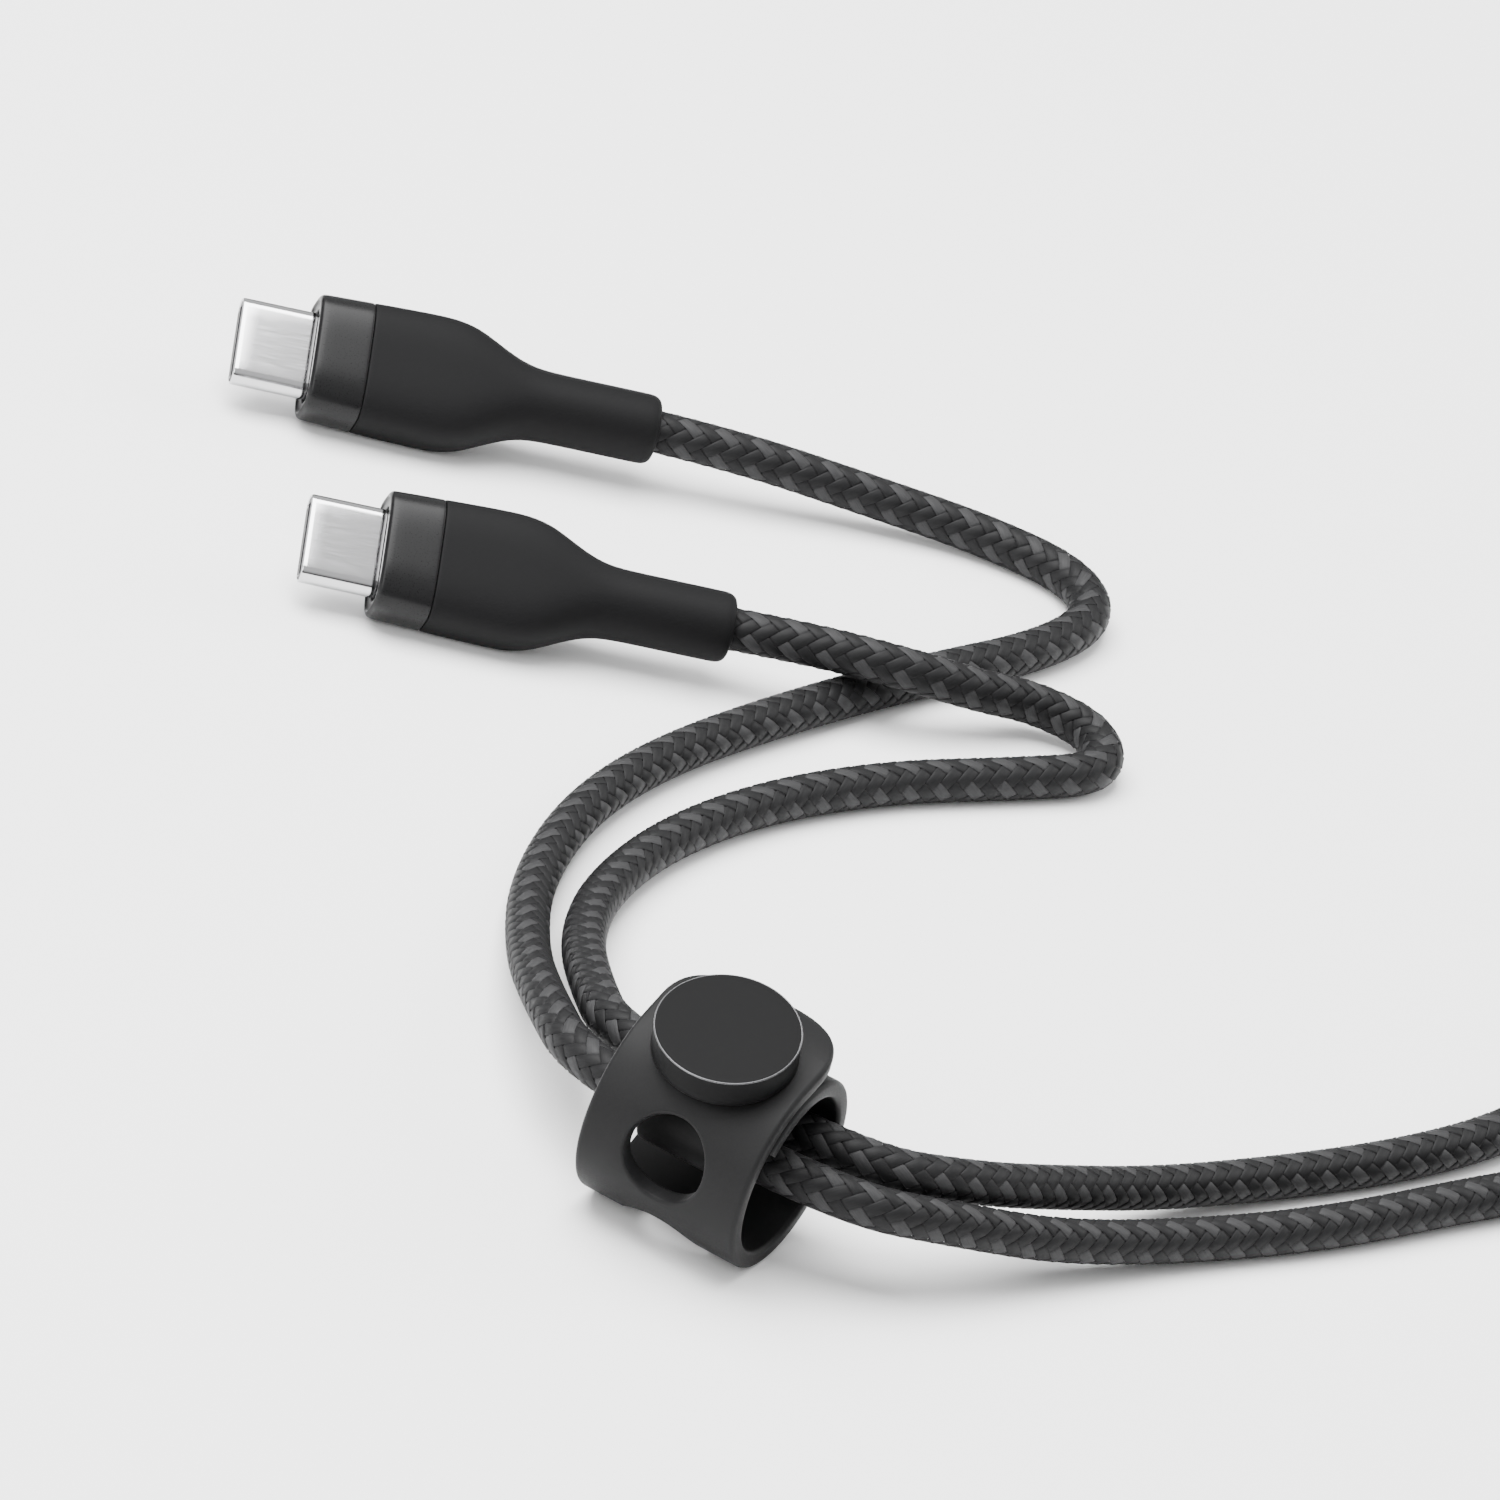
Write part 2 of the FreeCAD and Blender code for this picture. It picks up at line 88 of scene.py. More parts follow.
bpy.context.scene.camera = camera


def soft_box(name, place, size, power):
    """A square soft light that faces the cable."""
    lamp = bpy.data.lights.new(name, "AREA")
    lamp.shape = "SQUARE"
    lamp.size = size
    lamp.energy = power
    holder = bpy.data.objects.new(name, lamp)
    bpy.context.scene.collection.objects.link(holder)
    place = aim + Vector(place)
    facing = (aim - place).to_track_quat("-Z", "Y")
    holder.matrix_world = Matrix.Translation(place) @ facing.to_matrix().to_4x4()


soft_box("overhead_light", (-0.25, -0.1, 0.9), 0.9, 36)
soft_box("rim_light", (0.5, 0.7, 0.5), 0.5, 5)
soft_box("front_light", (-0.3, -0.9, 0.5), 0.6, 7)
sky = bpy.data.worlds.new("studio")
sky.use_nodes = True
background = sky.node_tree.nodes["Background"]
background.inputs["Color"].default_value = (1, 1, 1, 1)
# Dim walls rising to the bright ceiling draw light and dark lines along the polished edges
direction = sky.node_tree.nodes.new("ShaderNodeTexCoord")
height_of = sky.node_tree.nodes.new("ShaderNodeSeparateXYZ")
brightness = sky.node_tree.nodes.new("ShaderNodeMapRange")
brightness.interpolation_type = "SMOOTHSTEP"
brightness.inputs["From Min"].default_value = 0.08
brightness.inputs["From Max"].default_value = 0.5
brightness.inputs["To Min"].default_value = 0.12
brightness.inputs["To Max"].default_value = 0.95
sky.node_tree.links.new(direction.outputs["Generated"], height_of.inputs["Vector"])
sky.node_tree.links.new(height_of.outputs["Z"], brightness.inputs["Value"])
sky.node_tree.links.new(brightness.outputs["Result"], background.inputs["Strength"])
bpy.context.scene.world = sky

# ---------------------------------------------------------------- the cord
# One round cord, about 0.92 m between the two plugs, with a sleeve of flat nylon ribbons braided
# over it. It folds back behind each plug, runs through the strap twice and is stored in a coil.
CORD_DIAMETER = 3.9
FLOOR_HEIGHT = CORD_DIAMETER / 2 + 0.05
neck_a = (-20.11, 58.09, 5.47)
neck_b = (1.99, 32.29, 5.47)
from_plug_a = [
    (-12.7, 62.7, 5.3), (-1.9, 70.9, 3.1), (7.5, 76.1, 2.05), (16.6, 77.0, 2.0),
    (21.6, 71.9, 2.0), (20.8, 61.3, 2.0), (16.1, 48.1, 2.0), (11.2, 30.5, 2.0),
    (7.6, 13.0, 2.0), (7.4, -2.0, 2.0), (10.9, -17.0, 2.1), (17.7, -31.0, 4.1),
    (24.6, -42.0, 7.3), (33.5, -52.2, 9.2), (58.8, -52.2, 9.2), (66.7, -41.4, 6.6),
    (72.1, -31.0, 3.7), (78.5, -17.9, 2.1), (85.7, -4.5, 2.0), (91.3, 10.0, 2.0),
    (96.6, 22.0, 2.0), (106.5, 26.6, 2.0),
]
from_plug_b = [
    (8.9, 35.8, 6.1), (17.0, 39.7, 6.3), (22.2, 45.7, 4.4), (25.8, 51.4, 2.9),
    (31.6, 52.9, 2.1), (35.4, 47.4, 2.0), (30.0, 38.4, 2.0), (22.9, 27.5, 2.0),
    (17.4, 14.0, 2.0), (14.9, 0.0, 2.0), (15.7, -12.9, 2.1), (20.0, -25.3, 4.2),
    (26.4, -37.0, 7.8), (33.6, -47.0, 10.3), (58.0, -47.0, 10.3), (65.2, -37.2, 8.4),
    (68.6, -27.0, 5.8), (72.5, -15.0, 3.0), (78.1, -2.3, 2.0), (84.0, 10.0, 2.0),
    (87.9, 21.5, 2.0), (89.9, 32.0, 2.6), (91.9, 42.0, 5.0), (94.6, 51.8, 6.2),
]
coil_centre = Vector((118.5, 50.0, 0))
outer_turn = 23.6
inner_turn = 19.6
top_turn = 21.6
top_height = FLOOR_HEIGHT + 3.5
step = 24
corner_cut = math.cos(math.radians(step / 2))


def eased(value, low, high):
    """0 below low, 1 above high and a smooth rise between them."""
    part = min(max((value - low) / (high - low), 0), 1)
    return part * part * (3 - 2 * part)


def coil_points():
    """The stored turns: one outside on the floor, one inside it, and the rest in the groove on top."""
    points = []
    for angle in range(-90, 870 + 1, step):
        inward = eased(angle, 195, 265)
        raised = eased(angle, 550, 620)
        leaving = eased(angle, 800, 860)
        radius = outer_turn + (inner_turn - outer_turn) * inward + (top_turn - inner_turn) * raised
        height = FLOOR_HEIGHT + (top_height - FLOOR_HEIGHT) * raised + 0.5 * leaving
        reach = radius / corner_cut
        x = coil_centre.x + reach * math.cos(math.radians(angle))
        y = coil_centre.y + reach * math.sin(math.radians(angle))
        points.append((x, y, height))
    return points


route = [neck_a] + from_plug_a + coil_points() + list(reversed(from_plug_b)) + [neck_b]
line_curve = bpy.data.curves.new("cord_line", "CURVE")
line_curve.dimensions = "3D"
line_curve.resolution_u = 12
spline = line_curve.splines.new("NURBS")
spline.points.add(len(route) - 1)
for control, place in zip(spline.points, route):
    control.co = (place[0] * MM, place[1] * MM, place[2] * MM, 1)
spline.order_u = 3
spline.use_endpoint_u = True
line_object = bpy.data.objects.new("cord_line", line_curve)
bpy.context.scene.collection.objects.link(line_object)
line_mesh = bpy.data.meshes.new_from_object(line_object)
centre_line = np.array([vertex.co[:] for vertex in line_mesh.vertices])
bpy.data.objects.remove(line_object)
bpy.data.meshes.remove(line_mesh)

# Frames carried along the line without twist, so that the braid keeps its own even lay
steps = np.linalg.norm(np.diff(centre_line, axis=0), axis=1)
travelled = np.concatenate([[0], np.cumsum(steps)])
tangents = np.gradient(centre_line, travelled, axis=0)
tangents /= np.linalg.norm(tangents, axis=1)[:, None]
normals = np.zeros_like(tangents)
normal = np.cross(tangents[0], (0, 0, 1))
for index, tangent in enumerate(tangents):
    normal = normal - tangent * normal.dot(tangent)
    normal /= np.linalg.norm(normal)
    normals[index] = normal
binormals = np.cross(tangents, normals)


def along_cord(distance, angle, radius):
    """Points on or in the cord, from the distance along it, the angle round it and the radius."""
    def follow(values):
        return np.stack([np.interp(distance, travelled, values[:, axis]) for axis in range(3)], axis=1)
    side = follow(normals) * np.cos(angle)[:, None] + follow(binormals) * np.sin(angle)[:, None]
    return follow(centre_line) + side * radius[:, None]


# Each visible float of a ribbon passes over two crossing ribbons and dives under the next two.
carriers = 8
cord_length = travelled[-1]
girth = math.pi * CORD_DIAMETER * MM
pitch = girth / carriers
lay_length = 1.7 * MM
end_margin = 0.3 * pitch
ribbon_width = 1.12 * MM
float_length = 1.92 * pitch
bm = bmesh.new()
bmesh.ops.create_grid(bm, x_segments=6, y_segments=3, size=1)
across_places = [-0.5, -0.38, 0.38, 0.5]
across_sink = [0.09, 0.0, 0.0, 0.09]
along_places = [-0.5, -0.42, -0.31, 0.0, 0.31, 0.42, 0.5]
along_sink = [0.45, 0.15, 0.02, 0.0, 0.02, 0.15, 0.45]
bm.verts.ensure_lookup_table()
float_points = []
for vertex in bm.verts:
    column = round((vertex.co.x + 1) * 3)
    row = round((vertex.co.y + 1) * 1.5)
    sink = along_sink[column] + across_sink[row]
    float_points.append((along_places[column] * float_length, across_places[row] * ribbon_width, sink * MM))
float_faces = np.array([[vertex.index for vertex in face.verts] for face in bm.faces])
bm.free()
float_points = np.array(float_points)

places = []
turns_needed = int(cord_length / lay_length) + 2
for row in range(carriers):
    lay = 1 if row % 2 == 0 else -1
    for column in range(turns_needed):
        middle = (column + (0.25 if lay == 1 else 0.75)) * lay_length
        round_place = (row + 0.5) * pitch
        # Painted sheen: lighter floats lie only on this lay, standing in for the highlight its filaments
        # catch; every other one along it is a two-tone pattern
        light = lay == 1 and column % 2 == 0
        if middle < cord_length - end_margin:
            places.append((middle, round_place, lay, 1.0 if light else 0.0))
places = np.array(places)
forward = lay_length / math.hypot(lay_length, pitch)
sideways = pitch / math.hypot(lay_length, pitch)
lays = places[:, 2:3]
lengthways, crossways, sunk = (float_points[None, :, axis] for axis in range(3))
along = places[:, 0:1] + lengthways * forward - crossways * lays * sideways
around = places[:, 1:2] + lengthways * lays * sideways + crossways * forward
depth = np.repeat(sunk, len(places), axis=0)
along = np.clip(along, 0, cord_length)
float_vertices = along_cord(along.ravel(), (around / (CORD_DIAMETER / 2 * MM)).ravel(),
                            (CORD_DIAMETER / 2 * MM - depth).ravel())
count = len(float_points)
braid_faces = (float_faces[None] + (np.arange(len(places)) * count)[:, None, None]).reshape(-1, 4)
mirrored = np.repeat(places[:, 2] < 0, len(float_faces))
braid_faces[mirrored] = braid_faces[mirrored][:, ::-1]

# The plain core under the ribbons; its near-black colour is painted shade for the gaps between them
core_sides = 8
core_depth = 0.42
core_rings = 560
core_radius = (CORD_DIAMETER / 2 - core_depth) * MM
core_stations = np.linspace(0, cord_length, core_rings)
core_along = np.repeat(core_stations, core_sides)
core_angle = np.tile(np.arange(core_sides) * 2 * math.pi / core_sides, len(core_stations))
core_vertices = along_cord(core_along, core_angle, np.full(len(core_along), core_radius))
ring = np.arange(core_sides)
core_faces = []
for station in range(len(core_stations) - 1):
    here = station * core_sides
    for side in ring:
        following = (side + 1) % core_sides
        core_faces.append((here + side, here + following,
                           here + core_sides + following, here + core_sides + side))
shift = len(float_vertices)
core_faces = np.array(core_faces) + shift
caps = [[shift + side for side in reversed(ring)],
        [shift + (len(core_stations) - 1) * core_sides + side for side in ring]]
cord_mesh = bpy.data.meshes.new("braided_cord")
cord_mesh.from_pydata(np.vstack([float_vertices, core_vertices]).tolist(), [],
                      braid_faces.tolist() + core_faces.tolist() + [[int(v) for v in cap] for cap in caps])
# Per point: -1 is the core's painted gap shade, 0 a plain float, 1 a float with painted sheen
tone = cord_mesh.attributes.new("ribbon_tone", "FLOAT", "POINT")
sheen_and_gap_shade_values = np.concatenate([np.repeat(places[:, 3], count), np.full(len(core_vertices), -1.0)])
tone.data.foreach_set("value", sheen_and_gap_shade_values.astype(np.float32))
uv_layer = cord_mesh.uv_layers.new(name="ribbon")
flat_uv = np.zeros((shift + len(core_vertices), 2))
filament_shift = 700
flat_uv[:shift, 0] = (lengthways / MM + places[:, 0:1] * filament_shift).ravel()
flat_uv[:shift, 1] = np.tile(float_points[:, 1] / ribbon_width, len(places))
loop_vertices = np.zeros(len(cord_mesh.loops), int)
cord_mesh.loops.foreach_get("vertex_index", loop_vertices)
uv_layer.data.foreach_set("uv", flat_uv[loop_vertices].ravel().astype(np.float32))
cord_mesh.polygons.foreach_set("use_smooth", np.ones(len(cord_mesh.polygons), bool))
cord_mesh.update()
cord = bpy.data.objects.new("braided_cord", cord_mesh)
bpy.context.scene.collection.objects.link(cord)


def new_finish(name, colour, roughness, metallic=0.0, specular=0.5):
    """A finish with its shader's plain values set; texture nodes are linked to it afterwards."""
    finish = bpy.data.materials.new(name)
    finish.use_nodes = True
    shader = finish.node_tree.nodes["Principled BSDF"]
    shader.inputs["Base Color"].default_value = (*colour, 1)
    shader.inputs["Roughness"].default_value = roughness
    shader.inputs["Metallic"].default_value = metallic
    shader.inputs["Specular IOR Level"].default_value = specular
    return finish


def add_node(finish, kind, **values):
    node = finish.node_tree.nodes.new(kind)
    for name, value in values.items():
        if name in node.inputs:
            node.inputs[name].default_value = value
        else:
            setattr(node, name, value)
    return node


def join(finish, source, socket, target, entry):
    finish.node_tree.links.new(source.outputs[socket], target.inputs[entry])


def colour_ramp(finish, stops):
    ramp = add_node(finish, "ShaderNodeValToRGB")
    ramp.color_ramp.elements[0].position = stops[0][0]
    ramp.color_ramp.elements[0].color = (*stops[0][1], 1)
    ramp.color_ramp.elements[1].position = stops[-1][0]
    ramp.color_ramp.elements[1].color = (*stops[-1][1], 1)
    for place, colour in stops[1:-1]:
        element = ramp.color_ramp.elements.new(place)
        element.color = (*colour, 1)
    return ramp


# Nylon ribbons: charcoal, with every other float of one lay a lighter grey, and fine filaments. The lighter
# grey on that one lay is a painted sheen for the highlight its filaments catch, and its alternation along the
# lay is a two-tone pattern.
nylon = new_finish("nylon_braid", (0.02, 0.02, 0.021), 0.55, specular=0.12)
nylon_shader = nylon.node_tree.nodes["Principled BSDF"]
ribbon_tone = add_node(nylon, "ShaderNodeAttribute", attribute_name="ribbon_tone")
sheen_and_shade_range = add_node(nylon, "ShaderNodeMapRange")
sheen_and_shade_range.inputs["From Min"].default_value = -1
sheen_and_shade_range.inputs["From Max"].default_value = 1
# Colour by point value: near-black painted gap shade on the core, charcoal plain floats, lighter grey floats
# with painted sheen
ribbon_colour_with_painted_sheen_and_shade = colour_ramp(nylon, [(0.0, (0.002, 0.002, 0.002)), (0.5, (0.0088, 0.0088, 0.0092)),
                                    (1.0, (0.027, 0.027, 0.0278))])
join(nylon, ribbon_tone, "Fac", sheen_and_shade_range, "Value")
join(nylon, sheen_and_shade_range, "Result", ribbon_colour_with_painted_sheen_and_shade, "Fac")
ribbon_uv = add_node(nylon, "ShaderNodeUVMap", uv_map="ribbon")
filament_scale = add_node(nylon, "ShaderNodeMapping")
filament_scale.inputs["Scale"].default_value = (0.6, 16, 1)
filaments = add_node(nylon, "ShaderNodeTexNoise", Scale=1.0, Detail=2.0)
join(nylon, ribbon_uv, "UV", filament_scale, "Vector")
join(nylon, filament_scale, "Vector", filaments, "Vector")
shading = add_node(nylon, "ShaderNodeMapRange")
shading.inputs["From Min"].default_value = 0.3
shading.inputs["From Max"].default_value = 0.7
shading.inputs["To Min"].default_value = 0.78
shading.inputs["To Max"].default_value = 1.2
join(nylon, filaments, "Fac", shading, "Value")
tinted = add_node(nylon, "ShaderNodeVectorMath", operation="SCALE")
join(nylon, ribbon_colour_with_painted_sheen_and_shade, "Color", tinted, 0)
join(nylon, shading, "Result", tinted, "Scale")
join(nylon, tinted, "Vector", nylon_shader, "Base Color")
filament_bump = add_node(nylon, "ShaderNodeBump", Strength=0.25, Distance=0.00004)
join(nylon, filaments, "Fac", filament_bump, "Height")
join(nylon, filament_bump, "Normal", nylon_shader, "Normal")
cord_mesh.materials.append(nylon)
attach(cord, "root")
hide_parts("cord_a", "cord_b", "cord_coil")


# ---------------------------------------------------------------- the plugs
# Two identical plugs. A drawn steel shell holds a black contact moulding; behind it a satin
# collar closes the housing, and a soft-touch grip narrows to a round neck over the cord.
PLUG_AXIS_HEIGHT = 5.47
PLUG_HEADING = 32.6
PLUG_ROLL = 41
plug_turn = (Matrix.Rotation(math.radians(PLUG_HEADING), 4, "Z")
             @ Matrix.Rotation(math.radians(PLUG_ROLL), 4, "X"))
plug_mouths = {"a": (-52.0, 37.7), "b": (-29.9, 11.9)}


def stadium(turn, half_flat, radius):
    """Two half circles joined by flats: the section of the steel shell."""
    return math.copysign(half_flat, math.cos(turn)) + radius * math.cos(turn), radius * math.sin(turn)


def squared_oval(turn, half_width, half_thickness, power):
    """An oval with fuller corners: the section of the collar and the grip."""
    across = math.copysign(abs(math.cos(turn)) ** (2 / power), math.cos(turn))
    upward = math.copysign(abs(math.sin(turn)) ** (2 / power), math.sin(turn))
    return half_width * across, half_thickness * upward


def drawn_tube(outline, stations, sides):
    """A tube along X: one ring, extruded from station to station and reshaped at each."""
    bm = bmesh.new()
    bmesh.ops.create_circle(bm, segments=sides, radius=1)
    turn_of = {vertex: math.atan2(vertex.co.y, vertex.co.x) + math.pi / sides for vertex in bm.verts}
    ring = list(bm.verts)
    edges = list(bm.edges)
    for index, (x, *sizes) in enumerate(stations):
        if index:
            made = bmesh.ops.extrude_edge_only(bm, edges=edges)["geom"]
            last_ring, ring = ring, [part for part in made if isinstance(part, bmesh.types.BMVert)]
            edges = [part for part in made if isinstance(part, bmesh.types.BMEdge)
                     and part.verts[0] in ring and part.verts[1] in ring]
            for vertex in ring:
                before = [edge.other_vert(vertex) for edge in vertex.link_edges]
                turn_of[vertex] = next(turn_of[other] for other in before if other in last_ring)
        for vertex in ring:
            y, z = outline(turn_of[vertex], *sizes)
            vertex.co = (x, y, z)
    bmesh.ops.recalc_face_normals(bm, faces=bm.faces)
    return bm


def finished_piece(name, bm, place, finish, body, levels=0):
    """Keeps the piece's own coordinates for its grain, then puts it in its place in metres."""
    mesh = bpy.data.meshes.new(name)
    bm.to_mesh(mesh)
    bm.free()
    own = mesh.attributes.new("own_place", "FLOAT_VECTOR", "POINT")
    spots = np.zeros(len(mesh.vertices) * 3, np.float32)
    mesh.vertices.foreach_get("co", spots)
    own.data.foreach_set("vector", spots)
    mesh.transform(place)
    mesh.polygons.foreach_set("use_smooth", np.ones(len(mesh.polygons), bool))
    mesh.materials.append(finish)
    piece = bpy.data.objects.new(name, mesh)
    bpy.context.scene.collection.objects.link(piece)
    if levels:
        smoothing = piece.modifiers.new("smoothing", "SUBSURF")
        smoothing.levels = levels
        smoothing.render_levels = levels
    if body:
        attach(piece, body)
    return piece


def grain(finish, size, tint=0.1, roughen=0.05, height=0.0, stretch=(1, 1, 1), own=True):
    """Fine mottling of colour, gloss and relief; size is the grain in millimetres."""
    shader = finish.node_tree.nodes["Principled BSDF"]
    if own:
        source = add_node(finish, "ShaderNodeAttribute", attribute_name="own_place")
        socket, unit = "Vector", 1.0
    else:
        source = add_node(finish, "ShaderNodeTexCoord")
        socket, unit = "Object", 1000.0
    scaled = add_node(finish, "ShaderNodeMapping")
    scaled.inputs["Scale"].default_value = [unit * part / size for part in stretch]
    noise = add_node(finish, "ShaderNodeTexNoise", Scale=1.0, Detail=3.0)
    join(finish, source, socket, scaled, "Vector")
    join(finish, scaled, "Vector", noise, "Vector")
    noise_low, noise_high = 0.3, 0.7
    rough = shader.inputs["Roughness"].default_value
    for entry, low, high in (("Roughness", rough - roughen, rough + roughen), ("Tint", 1 - tint, 1 + tint)):
        spread = add_node(finish, "ShaderNodeMapRange")
        spread.inputs["From Min"].default_value = noise_low
        spread.inputs["From Max"].default_value = noise_high
        spread.inputs["To Min"].default_value = low
        spread.inputs["To Max"].default_value = high
        join(finish, noise, "Fac", spread, "Value")
        if entry == "Roughness":
            join(finish, spread, "Result", shader, "Roughness")
        else:
            shade = add_node(finish, "ShaderNodeVectorMath", operation="SCALE")
            shade.inputs[0].default_value = shader.inputs["Base Color"].default_value[:3]
            join(finish, spread, "Result", shade, "Scale")
            join(finish, shade, "Vector", shader, "Base Color")
    if height:
        relief = add_node(finish, "ShaderNodeBump", Strength=1.0, Distance=height * MM)
        join(finish, noise, "Fac", relief, "Height")
        join(finish, relief, "Normal", shader, "Normal")
    return finish


drawn_steel = grain(new_finish("drawn_steel", (0.56, 0.56, 0.57), 0.11, metallic=1.0),
                    0.5, 0.02, 0.015, 0.0001, (0.12, 3, 3))
satin_collar = grain(new_finish("satin_collar", (0.006, 0.006, 0.0063), 0.3, specular=0.16),
                     0.12, 0.06, 0.04, 0.001)
soft_grip = grain(new_finish("soft_grip", (0.0055, 0.0055, 0.0058), 0.6, specular=0.08),
                  0.11, 0.14, 0.06, 0.004)
HALF_FLAT = 2.925
shell_stations = [(5.0, HALF_FLAT, 0.92), (0.45, HALF_FLAT, 0.92), (0.16, HALF_FLAT, 0.93),
                  (0.05, HALF_FLAT, 0.97), (0.0, HALF_FLAT, 1.04), (0.0, HALF_FLAT, 1.09),
                  (0.05, HALF_FLAT, 1.16), (0.16, HALF_FLAT, 1.19), (0.4, HALF_FLAT, 1.2),
                  (7.9, HALF_FLAT, 1.2)]
collar_stations = [
    (7.9, 4.3, 1.35, 4.5), (7.0, 4.3, 1.35, 4.5), (6.88, 4.38, 1.43, 4.4), (6.86, 4.5, 1.6, 4.2),
    (6.86, 4.92, 2.72, 3.6), (6.84, 5.02, 2.85, 3.5), (6.72, 5.06, 2.9, 3.5), (6.66, 5.12, 2.97, 3.5),
    (6.65, 5.2, 3.06, 3.5), (6.7, 5.34, 3.22, 3.5), (6.84, 5.5, 3.39, 3.5), (7.0, 5.57, 3.47, 3.5),
    (7.2, 5.6, 3.5, 3.5), (9.15, 5.68, 3.5, 3.5), (11.3, 5.755, 3.5, 3.5), (11.52, 5.76, 3.5, 3.5),
    (11.6, 5.73, 3.47, 3.5), (11.62, 5.6, 3.34, 3.5), (11.62, 5.0, 2.8, 3.5)]
grip_stations = [
    (11.66, 5.0, 2.8, 3.5), (11.66, 5.62, 3.36, 3.5), (11.69, 5.74, 3.47, 3.5), (11.78, 5.78, 3.5, 3.5),
    (12.1, 5.8, 3.5, 3.5), (13.4, 5.85, 3.5, 3.5), (15.15, 5.92, 3.5, 3.5), (17.0, 5.97, 3.5, 3.45),
    (18.55, 6.0, 3.5, 3.4), (20.0, 5.9, 3.49, 3.25), (21.4, 5.58, 3.47, 3.05), (22.6, 5.08, 3.43, 2.75),
    (23.8, 4.5, 3.38, 2.5), (24.95, 3.97, 3.32, 2.3), (26.0, 3.6, 3.26, 2.12), (27.1, 3.33, 3.2, 2.04),
    (28.4, 3.2, 3.18, 2.0), (30.5, 3.175, 3.175, 2.0), (34.0, 3.175, 3.175, 2.0), (37.6, 3.175, 3.175, 2.0),
    (38.1, 3.15, 3.15, 2.0), (38.5, 3.03, 3.03, 2.0), (38.75, 2.82, 2.82, 2.0), (38.85, 2.55, 2.55, 2.0),
    (38.84, 2.2, 2.2, 2.0), (38.75, 2.03, 2.03, 2.0), (38.3, 1.99, 1.99, 2.0), (35.0, 1.99, 1.99, 2.0)]
for side, mouth in plug_mouths.items():
    place = (Matrix.Translation(Vector((*mouth, PLUG_AXIS_HEIGHT)) * MM) @ plug_turn
             @ Matrix.Scale(MM, 4))
    for part, outline, stations, finish, slot, sides, node in (
            ("shell", stadium, shell_stations, drawn_steel, "plug_steel", 48, "shell"),
            ("collar", squared_oval, collar_stations, satin_collar, "collar_black", 64, "collar"),
            ("grip", squared_oval, grip_stations, soft_grip, "grip_black", 64, "body")):
        bm = drawn_tube(outline, stations, sides)
        name = "plug_%s_%s" % (side, part)
        piece = finished_piece("%s_formed" % name, bm, place, finish, "root", levels=1)
        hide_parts("plug_%s_%s" % (side, node))

# ---------------------------------------------------------------- inside the plugs
# What each shell and collar hold: the contact moulding with its gold springs, the side latches,
# and behind them a small board in its steel can, potted, with four wires going to a brass crimp.
inner_finishes = {
    "contact_housing": grain(new_finish("contact_moulding", (0.012, 0.012, 0.013), 0.45, specular=0.4),
                             0.2, 0.15, 0.08, 0.002, own=False),
    "contacts": grain(new_finish("gold_plate", (0.83, 0.6, 0.25), 0.25, metallic=1.0),
                      0.15, 0.06, 0.08, own=False),
    "latch_springs": grain(new_finish("spring_steel", (0.6, 0.6, 0.62), 0.3, metallic=1.0),
                           0.3, 0.06, 0.08, own=False),
    "board": grain(new_finish("solder_mask", (0.02, 0.16, 0.06), 0.35), 0.4, 0.2, 0.05, own=False),
    "chips": grain(new_finish("chip_package", (0.02, 0.02, 0.02), 0.5), 0.1, 0.2, 0.08, own=False),
    "shield_can": grain(new_finish("tinned_sheet", (0.6, 0.6, 0.58), 0.35, metallic=1.0),
                        0.8, 0.08, 0.1, own=False),
    "potting": grain(new_finish("cloudy_potting", (0.7, 0.69, 0.64), 0.4), 0.6, 0.08, 0.05, own=False),
    "conductors": grain(new_finish("wire_insulation", (0.5, 0.04, 0.03), 0.4), 0.3, 0.1, 0.05, own=False),
    "crimp": grain(new_finish("crimp_brass", (0.72, 0.52, 0.27), 0.3, metallic=1.0),
                   0.3, 0.08, 0.08, own=False),
}
for side in plug_mouths:
    for part, finish in inner_finishes.items():
        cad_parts["plug_%s_%s" % (side, part)].material_slots[0].material = finish

# ---------------------------------------------------------------- the strap
# One moulded silicone band, rolled round both strands of the cord. Its outer end is a tab that
# peels open; two round eyelets lighten the front, and the inner end carries a small keeper tube.
STRAP_CENTRE = (46.0, -51.2, 9.35)
STRAP_WIDTH = 15.8
BAND_THICKNESS = 1.6
LOOP_RADIUS = 8.55
INNER_LOOP_RADIUS = 7.56
BUTTON_ANGLE = 109.3
SPIRAL_ANGLE = 330.0
INNER_END_ANGLE = 508.0
SPLIT_ANGLE = 213
EYELET_ANGLES = (178, 248)
EYELET_RADIUS = 3.75
SNAP_HOLE_RADIUS = 1.85
STUD_RADIUS = 1.5
TAB_REACH = 9.4
TAB_FLAT = 3.0
TAB_BEND_RADIUS = 12.0
TAB_CORNER = 6.5
RIM_ROUND = 0.42
spiral_at = TAB_REACH + LOOP_RADIUS * math.radians(SPIRAL_ANGLE - BUTTON_ANGLE)
band_length = spiral_at + INNER_LOOP_RADIUS * math.radians(INNER_END_ANGLE - SPIRAL_ANGLE)


def band_place_of(angle):
    """How far along the flat band an angle of the loop lies, from the tip of the tab."""
    if angle <= SPIRAL_ANGLE:
        return TAB_REACH + LOOP_RADIUS * math.radians(angle - BUTTON_ANGLE)
    return spiral_at + INNER_LOOP_RADIUS * math.radians(angle - SPIRAL_ANGLE)


